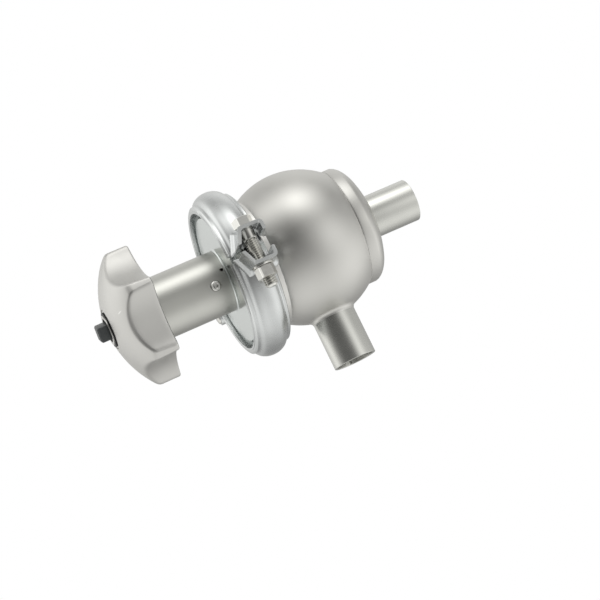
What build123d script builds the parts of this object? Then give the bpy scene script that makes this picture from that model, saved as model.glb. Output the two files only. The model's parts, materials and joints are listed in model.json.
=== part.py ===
"""Hygienic angle diaphragm valve with weld ends, a clamped bonnet and a star hand knob.

Units are millimetres. The origin is the centre of the axial weld end, +Z runs up the
stem to the knob, the side weld end points along -X and the clamp bolt faces -Y.
The valve is drawn open, with the stem at the top of its travel.
"""
from build123d import *
from math import cos, radians, sin, sqrt
import os

# pipe and body
tubeR = 12.7                  # 1 inch hygienic tube, outside radius
tubeWall = 1.65
ballR = 45.0
ballWall = 3.0
ballZ = 72.5                  # ball centre above the axial weld end
sideReach = 73.0              # ball centre to the side weld end
bossR = 35.5
bossTopZ = ballZ - 27.4       # where the boss meets the ball
bossEdgeZ = ballZ - 34.2      # end of the boss's straight side
bossCrownR = 72.0
bossBackZ = ballZ - 46.5
bossCrownZ = bossBackZ + bossCrownR
tubeEdgeZ = bossCrownZ - sqrt(bossCrownR ** 2 - tubeR ** 2)   # where the axial tube leaves the dome
spigotR = tubeR - 0.3         # the tube's turned-down end inside the boss
socketZ = ballZ - 39.0        # bottom of the boss's tube socket
seatZ = ballZ - 22.0
seatR = 14.5

# clamped joint
flangeZ = ballZ + 39.5        # middle of the joint
rimR = 45.5
rimHalf = 3.6                 # half the pair's thickness at the rim
flankSlope = 0.364            # 20 degree flanks
neckR = 37.8
boreR = 33.5                  # opening under the diaphragm
diaphragmT = 2.5
plateR = 38.2
plateZ = flangeZ + 9.1
plateHoleR = 14.2

# bonnet
bonnetR = 18.4
bonnetBoreR = 15.0
bonnetTopZ = ballZ + 92.0
stemR = 7.0
runFit = 0.05                 # radial clearance of a running fit
bushZ = flangeZ + 13.0
bushLength = 15.0
screwZ = ballZ + 58.0
screwAngle = -104.0
screwR = 2.75
keyHalf = 2.0                 # half the width of the stem's keyway
weepAngle = -81.0
weepZ = ballZ + 51.0

# drive
lift = 6.0
sleeveR = 11.0
collarR = 14.6
collarZ = ballZ + 78.0
collarHeight = 4.0
washerT = 1.5
knobBoreR = 9.0
sleeveTopZ = ballZ + 121.2
sealZ = bonnetTopZ - 3.0

# knob
knobR = 40.0
knobBackZ = ballZ + 92.7
knobApexZ = ballZ + 121.3
knobDomeR = 61.0
lobeCount = 6
lobeAngle = -76.8
scoopR = 35.0
scoopFloorR = 30.5
scoopDraft = 4.0              # degrees, floor leaning out towards the front
recessR = 11.9
recessZ = ballZ + 119.0

# indicator
indicatorSide = 9.0
indicatorAngle = -25.8
indicatorTopZ = ballZ + 127.3
indicatorLength = 13.0

# clamp
bandR = 50.2
bandHalf = 12.2
lipR = 42.8
splitGap = 2.5
lugReach = 65.0
lugWidth = 17.0
lugDepth = 6.2
lugTipX = 5.2                 # edges of the lugs, either side of the split
lugT = 2.3
lugOffsetZ = -1.5
boltR = 4.0
boltY = -58.0
boltEndX = -24.7
headHeight = 5.3
headAcross = 11.0
nutHeight = 6.5
washerR = 6.2
clampWasherT = 1.3
pinX = 9.0
pinY = 55.0
pinR = 3.0
earR = 5.6
earHalf = 8.0
linkT = 2.4
linkGap = 0.35

os.makedirs("parts", exist_ok=True)


def save(shape, name):
    """Write one sub-part."""
    export_step(shape, f"parts/{name}.step")


def turned(*points):
    """Solid of revolution about Z from (radius, height) corners."""
    outline = make_face(Polyline(*points, close=True))
    return revolve(Plane.XZ * outline, Axis.Z)


def rod(radius, low, high, x=0.0, y=0.0):
    """Round bar standing along Z."""
    return Pos(x, y, (low + high) / 2) * Cylinder(radius, high - low)


def ring(outer, inner, low, high, x=0.0, y=0.0):
    """Flat ring standing along Z."""
    return rod(outer, low, high, x, y) - rod(inner, low - 1, high + 1, x, y)


def bar(radius, start, end, y, z):
    """Round bar along X."""
    return Pos((start + end) / 2, y, z) * Rot(0, 90, 0) * Cylinder(radius, abs(end - start))


def hexBar(across, start, end, y, z):
    """Hexagon bar along X."""
    outline = Plane.YZ * Rot(0, 0, 30) * RegularPolygon(across / 2, 6, major_radius=False)
    return Pos(start, y, z) * extrude(outline, end - start)


def radial(angle, z):
    """Frame whose Z points inwards to the axis from the given side."""
    a = radians(angle)
    return Plane(origin=(0, 0, z), z_dir=(cos(a), sin(a), 0))


# ---------------------------------------------------------------- body
def ballShell():
    """Whole ball, before it is parted at its welded equator."""
    topR = sqrt(ballR ** 2 - neckR ** 2)
    neckTop = ballZ + 27.0
    outer = Pos(0, 0, ballZ) * Sphere(ballR) + rod(neckR, ballZ + topR - 1, neckTop)
    outer -= rod(60, neckTop, neckTop + 60)
    outer -= rod(60, bossTopZ - 60, bossTopZ)
    hollow = Pos(0, 0, ballZ) * Sphere(ballR - ballWall)
    hollow += rod(boreR, ballZ + 20, neckTop + 1)
    port = bar(tubeR - tubeWall, -sideReach, 0, 0, ballZ)
    return outer - hollow - port


def endBoss():
    """Turned cap that carries the axial tube and the seat."""
    crownEdgeR = 31.0
    crownEdgeZ = bossCrownZ - sqrt(bossCrownR ** 2 - crownEdgeR ** 2)
    midR = (crownEdgeR + tubeR) / 2
    midZ = bossCrownZ - sqrt(bossCrownR ** 2 - midR ** 2)
    floorR = sqrt((ballR - ballWall) ** 2 - (ballZ - bossTopZ) ** 2)
    outline = Wire([
        Edge.make_line((0, tubeEdgeZ), (tubeR, tubeEdgeZ)),
        Edge.make_three_point_arc((tubeR, tubeEdgeZ), (midR, midZ), (crownEdgeR, crownEdgeZ)),
        Edge.make_three_point_arc((crownEdgeR, crownEdgeZ), (34.3, bossEdgeZ - 2.6), (bossR, bossEdgeZ)),
        Edge.make_line((bossR, bossEdgeZ), (bossR, bossTopZ)),
        Edge.make_line((bossR, bossTopZ), (floorR, bossTopZ)),
        Edge.make_line((floorR, bossTopZ), (seatR + 4, bossTopZ - 3)),
        Edge.make_line((seatR + 4, bossTopZ - 3), (seatR, seatZ)),
        Edge.make_line((seatR, seatZ), (0, seatZ)),
        Edge.make_line((0, seatZ), (0, tubeEdgeZ)),
    ])
    cap = revolve(Plane.XZ * make_face(outline), Axis.Z)
    cap -= rod(tubeR - tubeWall, 0, ballZ)
    return cap - rod(spigotR, 0, socketZ)


def inletTube():
    """Axial tube with the end that sits in the boss."""
    tube = ring(tubeR, tubeR - tubeWall, 0, tubeEdgeZ)
    return tube + ring(spigotR, tubeR - tubeWall, tubeEdgeZ, socketZ)


def outletTube():
    """Side tube with its inner end saddled onto the ball."""
    tube = bar(tubeR, -sideReach, -20, 0, ballZ) - bar(tubeR - tubeWall, -sideReach - 1, 0, 0, ballZ)
    return tube - Pos(0, 0, ballZ) * Sphere(ballR)


def flankHalf(radius):
    """Half thickness of the ferrule pair at a radius on the flank."""
    return rimHalf + (rimR - radius) * flankSlope


def bodyFerrule():
    low = ballZ + 27.0
    top = flangeZ - diaphragmT / 2
    return turned((boreR, low), (neckR, low), (neckR, flangeZ - flankHalf(neckR)),
                  (rimR, flangeZ - rimHalf), (rimR, top), (boreR, top))


def bonnetPlate():
    """Cover with the mating ferrule rim and a dished underside."""
    low = flangeZ + diaphragmT / 2
    return turned((boreR, low), (rimR, low), (rimR, flangeZ + rimHalf),
                  (plateR, flangeZ + flankHalf(plateR)), (plateR, plateZ - 0.8),
                  (plateR - 0.8, plateZ), (plateHoleR, plateZ), (plateHoleR, low + 5.5),
                  (plateHoleR + 6, low + 5.2))


# ---------------------------------------------------------------- bonnet
def bonnetTube():
    """Tube from the plate to the knob, with the retaining ring's seat in its top."""
    tube = ring(bonnetR, bonnetBoreR, plateZ, bonnetTopZ)
    tube -= turned((bonnetR, plateZ), (bonnetR + 1, plateZ), (bonnetR + 1, plateZ + 1.2),
                   (bonnetR, plateZ + 1.2), (bonnetR - 0.7, plateZ))
    tube -= radial(screwAngle, screwZ) * Pos(0, 0, 15) * Cylinder(screwR, 30)
    tube -= radial(weepAngle, weepZ) * Pos(0, 0, 15) * Cylinder(0.9, 30)
    return tube


def guideBush():
    """Bush that guides the stem."""
    bush = ring(bonnetBoreR, stemR + runFit, bushZ, bushZ + bushLength)
    bush -= radial(screwAngle, screwZ) * Pos(0, 0, 15) * Cylinder(screwR, 30)
    return bush


def guideScrew():
    """Socket set screw whose nose runs in the stem's keyway."""
    headR = bonnetR + 0.25
    noseStart = stemR - 1.9
    shank = Pos(0, 0, (stemR + 1.4 + headR) / 2) * Cylinder(screwR, headR - stemR - 1.4)
    nose = Pos(0, 0, (noseStart + stemR + 1.4) / 2) * Cylinder(keyHalf - 0.1, stemR + 1.4 - noseStart)
    socket = Pos(0, 0, headR - 2.4) * extrude(RegularPolygon(1.25, 6, major_radius=False), 3)
    return radial(screwAngle, screwZ) * (shank + nose - socket)


def retainerRing():
    """Ring in the tube's top that holds the drive sleeve down."""
    low = collarZ + collarHeight + washerT
    groove = ring(sleeveR + 2.4, sleeveR - 1, sealZ - 1.25, sealZ + 1.25)
    return ring(bonnetBoreR, sleeveR + 0.4, low, bonnetTopZ) - groove


def sleeveSeal():
    """O-ring in the retaining ring that keeps dirt out of the drive."""
    return Pos(0, 0, sealZ) * Torus(sleeveR + 1.2, 1.05)


def sleeveShoulder():
    """Ring in the tube that the lower thrust washer sits on."""
    high = collarZ - washerT
    return ring(bonnetBoreR, sleeveR + 0.4, high - 4.0, high)


def thrustWasher(low):
    return ring(collarR, sleeveR + 0.3, low, low + washerT)


# ---------------------------------------------------------------- drive
def driveSleeve():
    """Captive nut turned by the knob, bored for the stem's screw."""
    sleeve = rod(sleeveR, collarZ - 8, knobBackZ)
    sleeve += rod(collarR, collarZ, collarZ + collarHeight)
    sleeve += rod(knobBoreR, knobBackZ, sleeveTopZ)
    sleeve -= ring(knobBoreR + 1, knobBoreR - 0.8, sleeveTopZ - 1.5, sleeveTopZ - 0.5)
    for side in (-1, 1):
        flat = Pos(side * (knobBoreR + 4.2), 0, (knobBackZ + recessZ) / 2)
        sleeve -= flat * Box(10, 30, recessZ - knobBackZ)
    sleeve -= rod(stemR + runFit, collarZ - 9, knobApexZ)
    return sleeve


def knob():
    """Domed star knob, scooped between its lobes."""
    domeZ = knobApexZ - knobDomeR
    body = rod(knobR, knobBackZ, knobApexZ + 5)
    body &= Pos(0, 0, domeZ) * Sphere(knobDomeR)
    halfStep = 180 / lobeCount
    for k in range(lobeCount):
        angle = lobeAngle + halfStep + k * 360 / lobeCount
        floor = Pos(scoopFloorR, 0, knobBackZ)
        lean = Rot(0, scoopDraft, 0)
        cutter = floor * lean * Pos(scoopR, 0, 15) * Cylinder(scoopR, 60)
        body -= Rot(0, 0, angle) * cutter
    body -= rod(recessR, recessZ, knobApexZ + 5)
    bore = rod(knobBoreR, knobBackZ - 1, recessZ + 1)
    for side in (-1, 1):
        flat = Pos(side * (knobBoreR + 4.2), 0, (knobBackZ + recessZ) / 2)
        bore -= flat * Box(10, 30, recessZ - knobBackZ + 4)
    body -= bore
    return body


def knobWasher():
    return ring(recessR - 0.5, knobBoreR + 0.15, recessZ, sleeveTopZ - 1.5)


def circlip():
    """Open retaining ring in the sleeve's groove."""
    clip = ring(knobBoreR + 1.4, knobBoreR - 0.8, sleeveTopZ - 1.5, sleeveTopZ - 0.5)
    return clip - Pos(0, knobBoreR, sleeveTopZ) * Box(4, 6, 6)


# ---------------------------------------------------------------- stem
hubZ = flangeZ + 5.0          # underside of the diaphragm's hub when open
hubT = 2.2
discT = 3.0
neckTopZ = hubZ
plugZ = seatZ + lift          # face of the plug when open
stemBottomZ = hubZ + hubT + discT


def stem():
    """Spindle with its stud, keyway, screwed length and square tongue."""
    top = indicatorTopZ - indicatorLength
    shaft = rod(stemR, stemBottomZ, top)
    shaft += rod(4.0, neckTopZ - 14, stemBottomZ)
    shaft += rod(3.0, top, top + 8)
    slotLow = screwZ - 2.6
    slotHigh = screwZ + lift + 2.6
    slot = Pos(stemR, 0, (slotLow + slotHigh) / 2) * Box(4.2, 2 * keyHalf, slotHigh - slotLow)
    return shaft - Rot(0, 0, screwAngle) * slot


def backingDisc():
    """Disc above the diaphragm, rounded where the diaphragm folds."""
    low = hubZ + hubT
    return turned((4.1, low), (10.5, low), (12.5, low + 1.2), (12.5, low + discT), (4.1, low + discT))


def diaphragm():
    """Moulded sheet: clamped rim, one cone and a hub held on the stem."""
    half = diaphragmT / 2
    return turned((4.1, hubZ), (12.0, hubZ), (31.0, flangeZ - half), (44.5, flangeZ - half),
                  (44.5, flangeZ + half), (31.5, flangeZ + half), (12.6, hubZ + hubT - 0.3),
                  (11.0, hubZ + hubT), (4.1, hubZ + hubT))


def plug():
    """Plug with a slim neck up to the diaphragm."""
    body = turned((0, plugZ), (16.5, plugZ), (17.5, plugZ + 1), (17.5, plugZ + 4.5),
                  (8.0, plugZ + 11), (7.0, plugZ + 15), (7.0, neckTopZ - 5), (11.0, neckTopZ), (0, neckTopZ))
    body -= rod(4.0, neckTopZ - 14, neckTopZ + 1)
    body -= rod(15.8, plugZ - 1, plugZ + 3)
    body -= rod(2.5, plugZ, plugZ + 14)
    return body


def plugSeal():
    """Soft disc that closes on the seat."""
    return ring(15.8, 9.0, plugZ, plugZ + 3) + ring(9.5, 2.7, plugZ + 2, plugZ + 3)


def sealRetainer():
    return ring(8.9, 2.7, plugZ + 0.2, plugZ + 2)


def sealScrew():
    """Countersunk-style socket screw under the plug."""
    screw = rod(4.5, plugZ - 2.8, plugZ + 0.2) + rod(2.5, plugZ + 0.2, plugZ + 13)
    return screw - Pos(0, 0, plugZ - 2.9) * extrude(RegularPolygon(1.5, 6, major_radius=False), 2)


def indicatorCap():
    """Square dark cap that shows the stem's height."""
    low = indicatorTopZ - indicatorLength
    cap = Pos(0, 0, low + indicatorLength / 2) * Box(indicatorSide, indicatorSide, indicatorLength)
    cap = chamfer(cap.faces().sort_by(Axis.Z)[-1].edges(), 0.7)
    cap -= rod(3.0, low - 1, low + 8)
    return Rot(0, 0, indicatorAngle) * cap


# ---------------------------------------------------------------- clamp
def bandRing():
    """Heavy arched band with a flanked groove inside."""
    gap = 0.3
    grooveR = rimR + 0.9
    inner = flankHalf(lipR) + gap
    deep = flankHalf(grooveR) + gap
    shoulder = 7.6
    crest = 3.6
    edges = [
        Edge.make_line((lipR, inner), (lipR, bandHalf)),
        Edge.make_three_point_arc((lipR, bandHalf), (48.0, shoulder + 0.2), (bandR, crest)),
        Edge.make_line((bandR, crest), (bandR, -crest)),
        Edge.make_three_point_arc((bandR, -crest), (48.0, -shoulder - 0.2), (lipR, -bandHalf)),
        Edge.make_line((lipR, -bandHalf), (lipR, -inner)),
        Edge.make_line((lipR, -inner), (grooveR, -deep)),
        Edge.make_line((grooveR, -deep), (grooveR, deep)),
        Edge.make_line((grooveR, deep), (lipR, inner)),
    ]
    return Pos(0, 0, flangeZ) * revolve(Plane.XZ * make_face(Wire(edges)), Axis.Z)


def lug(side):
    """Bent-sheet channel at the bolt end of a half, open towards the split."""
    z = flangeZ + lugOffsetZ
    face = side * (lugDepth + lugTipX)
    outer = Pos(face - side * lugDepth / 2, -(lugReach + 48) / 2, z) * Box(lugDepth, lugReach - 48, lugWidth)
    outer = fillet(outer.edges().filter_by(Axis.Y).group_by(Axis.X)[-1 if side > 0 else 0], 3.4)
    cutDepth = lugDepth - lugT
    inner = Pos(face - side * (lugT + cutDepth / 2 + 1), -(lugReach + 48) / 2, z)
    inner *= Box(cutDepth + 2, lugReach - 40, lugWidth - 2 * lugT)
    hole = bar(boltR + 0.4, -30, 30, boltY, z)
    if side < 0:
        hole += Pos(0, boltY, z) * Box(60, 3.0, 2 * boltR + 0.8) + bar(boltR + 0.4, -30, 30, boltY - 1.5, z)
        hole += bar(boltR + 0.4, -30, 30, boltY + 1.5, z)
    return outer - inner - hole


def ear(side):
    """Hinge ear at the far end of a half."""
    low = flangeZ - earHalf
    high = flangeZ + earHalf
    body = rod(earR, low, high, side * pinX, pinY)
    body += Pos(side * (pinX + 1.5), pinY - 5.5, flangeZ) * Box(8.0, 7.0, 2 * earHalf)
    return body - rod(pinR + runFit, low - 1, high + 1, side * pinX, pinY)


def clampHalf(side):
    """One half of the clamp, with its lug and its hinge ear."""
    keep = Pos(side * (50 + splitGap), 0, flangeZ) * Box(100, 140, 60)
    half = bandRing() & keep
    groove = rod(rimR + 0.9, flangeZ - flankHalf(rimR), flangeZ + flankHalf(rimR))
    half += (ear(side) + lug(side)) - groove
    return half - rod(pinR + runFit, flangeZ - 20, flangeZ + 20, side * pinX, pinY)


def clampBolt():
    """Hexagon-head bolt through both lugs."""
    z = flangeZ + lugOffsetZ
    face = lugDepth + lugTipX
    return bar(boltR, boltEndX, face, boltY, z) + hexBar(headAcross, face, face + headHeight, boltY, z)


def clampWasher():
    z = flangeZ + lugOffsetZ
    face = -(lugDepth + lugTipX)
    disc = bar(washerR, face - clampWasherT, face, boltY, z)
    return disc - bar(boltR + 0.3, face - 5, face + 5, boltY, z)


def clampNut():
    z = flangeZ + lugOffsetZ
    face = -(lugDepth + lugTipX + clampWasherT)
    nut = hexBar(headAcross, face - nutHeight, face, boltY, z)
    return nut - bar(boltR + 0.05, -40, 0, boltY, z)


def hingeLinks():
    """Pair of plates that join the hinge pins."""
    low = earHalf + linkGap
    plates = []
    for side in (-1, 1):
        z = flangeZ + side * (low + linkT / 2)
        plate = Pos(0, pinY, z) * extrude(SlotCenterToCenter(2 * pinX, 2 * (earR - 0.4)), linkT / 2, both=True)
        for x in (-pinX, pinX):
            plate -= rod(pinR, z - 5, z + 5, x, pinY)
        plates.append(plate)
    return Compound(children=plates)


def hingePins():
    """Headed pins of the hinge."""
    outer = earHalf + linkGap + linkT
    pins = []
    for x in (-pinX, pinX):
        pin = rod(pinR, flangeZ - outer - 0.4, flangeZ + outer + 0.4, x, pinY)
        for side in (-1, 1):
            start = outer if side > 0 else -outer - 1.4
            pin += rod(pinR + 1.2, flangeZ + start, flangeZ + start + 1.4, x, pinY)
        pins.append(pin)
    return Compound(children=pins)


save(ballShell() & rod(60, bossTopZ, ballZ), "shell_lower")
save(ballShell() & rod(60, ballZ, ballZ + 27), "shell_upper")
save(endBoss(), "end_boss")
save(inletTube(), "inlet_tube")
save(outletTube(), "outlet_tube")
save(bodyFerrule(), "body_ferrule")
save(bonnetPlate(), "bonnet_plate")
save(bonnetTube(), "bonnet_tube")
save(guideBush(), "guide_bush")
save(guideScrew(), "guide_screw")
save(sleeveShoulder(), "sleeve_shoulder")
save(thrustWasher(collarZ - washerT), "thrust_washer_lower")
save(thrustWasher(collarZ + collarHeight), "thrust_washer_upper")
save(retainerRing(), "retainer_ring")
save(sleeveSeal(), "sleeve_seal")
save(diaphragm(), "diaphragm")
save(driveSleeve(), "drive_sleeve")
save(knob(), "star_knob")
save(knobWasher(), "knob_washer")
save(circlip(), "circlip")
save(stem(), "stem")
save(backingDisc(), "backing_disc")
save(plug(), "plug")
save(plugSeal(), "plug_seal")
save(sealRetainer(), "seal_retainer")
save(sealScrew(), "seal_screw")
save(indicatorCap(), "indicator_cap")
save(clampHalf(1), "clamp_half_head_side")
save(clampHalf(-1), "clamp_half_nut_side")
save(clampBolt(), "clamp_bolt")
save(clampWasher(), "clamp_washer")
save(clampNut(), "clamp_nut")
save(hingeLinks(), "hinge_links")
save(hingePins(), "hinge_pins")
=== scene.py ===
# Hygienic angle diaphragm valve: the visible pieces and their finishes, built round the CAD frame.
# Shapes are written in millimetres, in the frame's own axes: +Z up the stem, -X along the side tube.
import bmesh
import bpy
import json
import math
import numpy as np
from mathutils import Matrix, Vector


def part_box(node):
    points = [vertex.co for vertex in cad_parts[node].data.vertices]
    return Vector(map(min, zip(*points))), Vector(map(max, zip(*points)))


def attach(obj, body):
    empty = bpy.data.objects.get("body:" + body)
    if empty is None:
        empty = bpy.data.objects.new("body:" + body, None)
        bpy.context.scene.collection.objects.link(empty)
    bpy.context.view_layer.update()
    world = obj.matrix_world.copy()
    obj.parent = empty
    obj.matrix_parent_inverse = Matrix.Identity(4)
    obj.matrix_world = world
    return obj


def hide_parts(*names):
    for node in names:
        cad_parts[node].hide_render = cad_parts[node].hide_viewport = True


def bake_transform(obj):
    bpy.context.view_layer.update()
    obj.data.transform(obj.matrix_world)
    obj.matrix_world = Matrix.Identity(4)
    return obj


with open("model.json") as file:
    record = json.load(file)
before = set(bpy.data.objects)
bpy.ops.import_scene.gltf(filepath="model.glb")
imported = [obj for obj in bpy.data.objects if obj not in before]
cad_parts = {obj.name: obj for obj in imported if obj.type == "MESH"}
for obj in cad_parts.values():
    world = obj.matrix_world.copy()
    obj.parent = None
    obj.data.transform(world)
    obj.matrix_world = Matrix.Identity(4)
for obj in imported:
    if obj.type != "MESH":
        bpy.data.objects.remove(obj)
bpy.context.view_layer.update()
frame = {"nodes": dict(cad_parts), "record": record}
mm = 0.001


def lowest(node):
    return Vector(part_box(node)[0]) / mm


def highest(node):
    return Vector(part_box(node)[1]) / mm


mountSizes = {m["name"]: m["dims"] for m in frame["record"]["mounts"]}
tubeR = mountSizes["inlet_end"]["r_mm"]
boreR = mountSizes["inlet_bore"]["r_mm"]
ballR = highest("shell_lower").x
ballZ = (lowest("outlet_tube").z + highest("outlet_tube").z) / 2
sideReach = -lowest("outlet_tube").x
flangeZ = (lowest("clamp_half_head_side").z + highest("clamp_half_head_side").z) / 2
upZ = Matrix.Translation((0, 0, 0))


def meshPiece(name, points, faces, place=upZ, sharp=32):
    mesh = bpy.data.meshes.new(name)
    mesh.from_pydata(np.asarray(points, float).tolist(), [], faces)
    mesh.transform(Matrix.Scale(mm, 4) @ place)
    piece = bpy.data.objects.new(name, mesh)
    bpy.context.scene.collection.objects.link(piece)
    cleanMesh(mesh, sharp)
    return piece


def cleanMesh(mesh, sharp=32):
    # one closed skin, smooth except where two faces meet at more than the sharp angle
    work = bmesh.new()
    work.from_mesh(mesh)
    bmesh.ops.remove_doubles(work, verts=work.verts, dist=0.002 * mm)
    bmesh.ops.dissolve_degenerate(work, edges=work.edges, dist=0.001 * mm)
    bmesh.ops.recalc_face_normals(work, faces=work.faces)
    work.to_mesh(mesh)
    work.free()
    mesh.polygons.foreach_set("use_smooth", [True] * len(mesh.polygons))
    mesh.set_sharp_from_angle(angle=math.radians(sharp))


def spun(rows, columns=128, closed=True, arc=None):
    # rows of (radius, height) swept round Z; a row may hold one radius and height per column
    if arc is None:
        angles = np.linspace(0, 2 * math.pi, columns, endpoint=False)
    else:
        angles = np.linspace(math.radians(arc[0]), math.radians(arc[1]), columns)
    points, faces = [], []
    for radius, height in rows:
        radius = np.broadcast_to(radius, columns)
        height = np.broadcast_to(height, columns)
        points += list(zip(radius * np.cos(angles), radius * np.sin(angles), height))
    count = len(rows)
    for i in range(count if closed else count - 1):
        k = (i + 1) % count
        if np.all(np.asarray(rows[i][0]) == 0) and np.all(np.asarray(rows[k][0]) == 0):
            continue
        for j in range(columns if arc is None else columns - 1):
            n = (j + 1) % columns
            faces.append((i * columns + j, i * columns + n, k * columns + n, k * columns + j))
    if arc is not None and closed:
        faces.append([i * columns for i in range(count)])
        faces.append([i * columns + columns - 1 for i in reversed(range(count))])
    return points, faces


def rounded(corners, steps=4):
    # closed outline from (across, up, radius) corners, each radius drawn as a short curve
    outline = []
    count = len(corners)
    for i, (across, up, radius) in enumerate(corners):
        here = Vector((across, up))
        if radius == 0:
            outline.append((across, up))
            continue
        back = Vector(corners[i - 1][:2]) - here
        ahead = Vector(corners[(i + 1) % count][:2]) - here
        reach = radius / math.tan(back.angle(ahead) / 2)
        reach = min(reach, 0.48 * back.length, 0.48 * ahead.length)
        start = here + back.normalized() * reach
        end = here + ahead.normalized() * reach
        outline += bend(start, here, end, steps)
    return outline


def bend(start, corner, end, steps):
    # curve from start to end that leaves and arrives along the lines to the corner
    start, corner, end = np.array(start), np.array(corner), np.array(end)
    shares = np.linspace(0, 1, steps + 1)
    return [tuple((1 - t) ** 2 * start + 2 * t * (1 - t) * corner + t * t * end) for t in shares]


def swept(sections):
    # closed loops of equal length joined in order, with both ends closed
    points = [point for section in sections for point in section]
    size = len(sections[0])
    faces = []
    for i in range(len(sections) - 1):
        for j in range(size):
            n = (j + 1) % size
            faces.append((i * size + j, i * size + n, (i + 1) * size + n, (i + 1) * size + j))
    last = (len(sections) - 1) * size
    return points, faces + [list(range(size)), [last + j for j in reversed(range(size))]]


def plate(outline, low, high):
    # flat plate of an (x, y) outline between two heights
    return swept([[(x, y, low) for x, y in outline], [(x, y, high) for x, y in outline]])


def carve(piece, cutter):
    step = piece.modifiers.new("carve", "BOOLEAN")
    step.operation = "DIFFERENCE"
    step.object = cutter
    step.solver = "EXACT"
    graph = bpy.context.evaluated_depsgraph_get()
    made = bpy.data.meshes.new_from_object(piece.evaluated_get(graph))
    piece.modifiers.clear()
    piece.data = made
    bpy.data.objects.remove(cutter)
    cleanMesh(made)


def absorb(piece, other):
    work = bmesh.new()
    work.from_mesh(piece.data)
    work.from_mesh(other.data)
    work.to_mesh(piece.data)
    work.free()
    bpy.data.objects.remove(other)
    cleanMesh(piece.data)


def sliceOff(piece, point, outward, bridge=False):
    # cuts the mesh by a plane, drops what is outside it and closes the cut
    work = bmesh.new()
    work.from_mesh(piece.data)
    everything = work.verts[:] + work.edges[:] + work.faces[:]
    bmesh.ops.bisect_plane(work, geom=everything, plane_co=Vector(point) * mm, plane_no=outward,
                           clear_outer=True)
    rim = [e for e in work.edges if e.is_boundary]
    if bridge:
        bmesh.ops.bridge_loops(work, edges=rim)
    else:
        bmesh.ops.edgeloop_fill(work, edges=rim)
    work.to_mesh(piece.data)
    work.free()
    cleanMesh(piece.data)


def softEdges(piece, width, steps=2, angle=35):
    bevel = piece.modifiers.new("soft edges", "BEVEL")
    bevel.width = width * mm
    bevel.segments = steps
    bevel.limit_method = "ANGLE"
    bevel.angle_limit = math.radians(angle)
    bevel.harden_normals = True


def trueNormals(piece, normalAt, spread=18):
    # gloss follows the real surface where a cut has left long thin faces
    mesh = piece.data
    normals = []
    for face in mesh.polygons:
        for corner in face.loop_indices:
            true = normalAt(mesh.vertices[mesh.loops[corner].vertex_index].co / mm).normalized()
            near = true.dot(face.normal) > math.cos(math.radians(spread))
            normals.append(true if near else Vector((0, 0, 0)))
    mesh.normals_split_custom_set(normals)


def alongX(x, y, z, sign=1):
    # stands a turned piece along X: its own height runs towards sign * X from the given point
    return Matrix.Translation((x, y, z)) @ Matrix.Rotation(math.radians(90 * sign), 4, "Y")


def outwards(angle, z):
    # its own height runs out from the axis at an angle round Z
    return Matrix.Translation((0, 0, z)) @ Matrix.Rotation(math.radians(angle), 4, "Z") @ \
        Matrix.Rotation(math.radians(90), 4, "Y")


def fit(piece, body, nodes, material):
    # puts a finished piece on its body, in place of its CAD nodes
    piece.data.materials.clear()
    piece.data.materials.append(material)
    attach(piece, body)
    if nodes:
        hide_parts(*nodes)
    return piece


def linear(code):
    # sRGB hex to linear
    parts = [int(code[i:i + 2], 16) / 255 for i in (0, 2, 4)]
    return [p / 12.92 if p <= 0.04045 else ((p + 0.055) / 1.055) ** 2.4 for p in parts] + [1.0]


def addNode(tree, kind, settings=None, links=None):
    made = tree.nodes.new(kind)
    for key, value in (settings or {}).items():
        if isinstance(key, str) and hasattr(made, key):
            setattr(made, key, value)
        else:
            made.inputs[key].default_value = value
    for key, source in (links or {}).items():
        tree.links.new(source, made.inputs[key])
    return made


def startMaterial(name, shaderSettings):
    material = bpy.data.materials.new(name)
    material.use_nodes = True
    tree = material.node_tree
    tree.nodes.clear()
    shader = addNode(tree, "ShaderNodeBsdfPrincipled", shaderSettings)
    addNode(tree, "ShaderNodeOutputMaterial", links={"Surface": shader.outputs[0]})
    place = addNode(tree, "ShaderNodeTexCoord").outputs["Object"]
    return material, tree, shader, place


def perMetre(size):
    # a pattern's scale from the size of its grain in millimetres
    return 1 / (size * mm)


def grained(name, look):
    # blasted, cast or tumbled metal and moulded polymer: fine pits, slow clouds, and, where a look gives an
    # edge colour, a painted highlight that colours sharp convex edges lighter
    material, tree, shader, place = startMaterial(name, look["shader"])
    cloud = addNode(tree, "ShaderNodeTexNoise",
                    {"Scale": perMetre(look["cloudSize"]), "Detail": 3.0, "Roughness": 0.5},
                    {"Vector": place})
    tone = addNode(tree, "ShaderNodeMix",
                   {"data_type": "RGBA", 6: linear(look["dark"]), 7: linear(look["light"])},
                   {0: cloud.outputs[0]})
    if "edge" in look:
        # painted highlight: where pointiness finds a convex edge, the base colour turns to the lighter edge
        # colour
        paintedEdgeHighlight = addNode(tree, "ShaderNodeMapRange", {"From Min": 0.52, "From Max": 0.62},
                      {"Value": addNode(tree, "ShaderNodeNewGeometry").outputs["Pointiness"]})
        tone = addNode(tree, "ShaderNodeMix", {"data_type": "RGBA", 7: linear(look["edge"])},
                       {0: paintedEdgeHighlight.outputs[0], 6: tone.outputs[2]})
    tree.links.new(tone.outputs[2], shader.inputs["Base Color"])
    smooth, coarse = look["rough"]
    gloss = addNode(tree, "ShaderNodeMapRange",
                    {"From Min": 0.3, "From Max": 0.7, "To Min": smooth, "To Max": coarse},
                    {"Value": cloud.outputs[0]})
    tree.links.new(gloss.outputs[0], shader.inputs["Roughness"])
    pits = addNode(tree, "ShaderNodeTexNoise",
                   {"Scale": perMetre(look["grainSize"]), "Detail": 2.0, "Roughness": 0.6},
                   {"Vector": place})
    bump = addNode(tree, "ShaderNodeBump",
                   {"Strength": look["bump"], "Distance": look["depth"] * mm},
                   {"Height": pits.outputs[0]})
    tree.links.new(bump.outputs[0], shader.inputs["Normal"])
    return material


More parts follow.
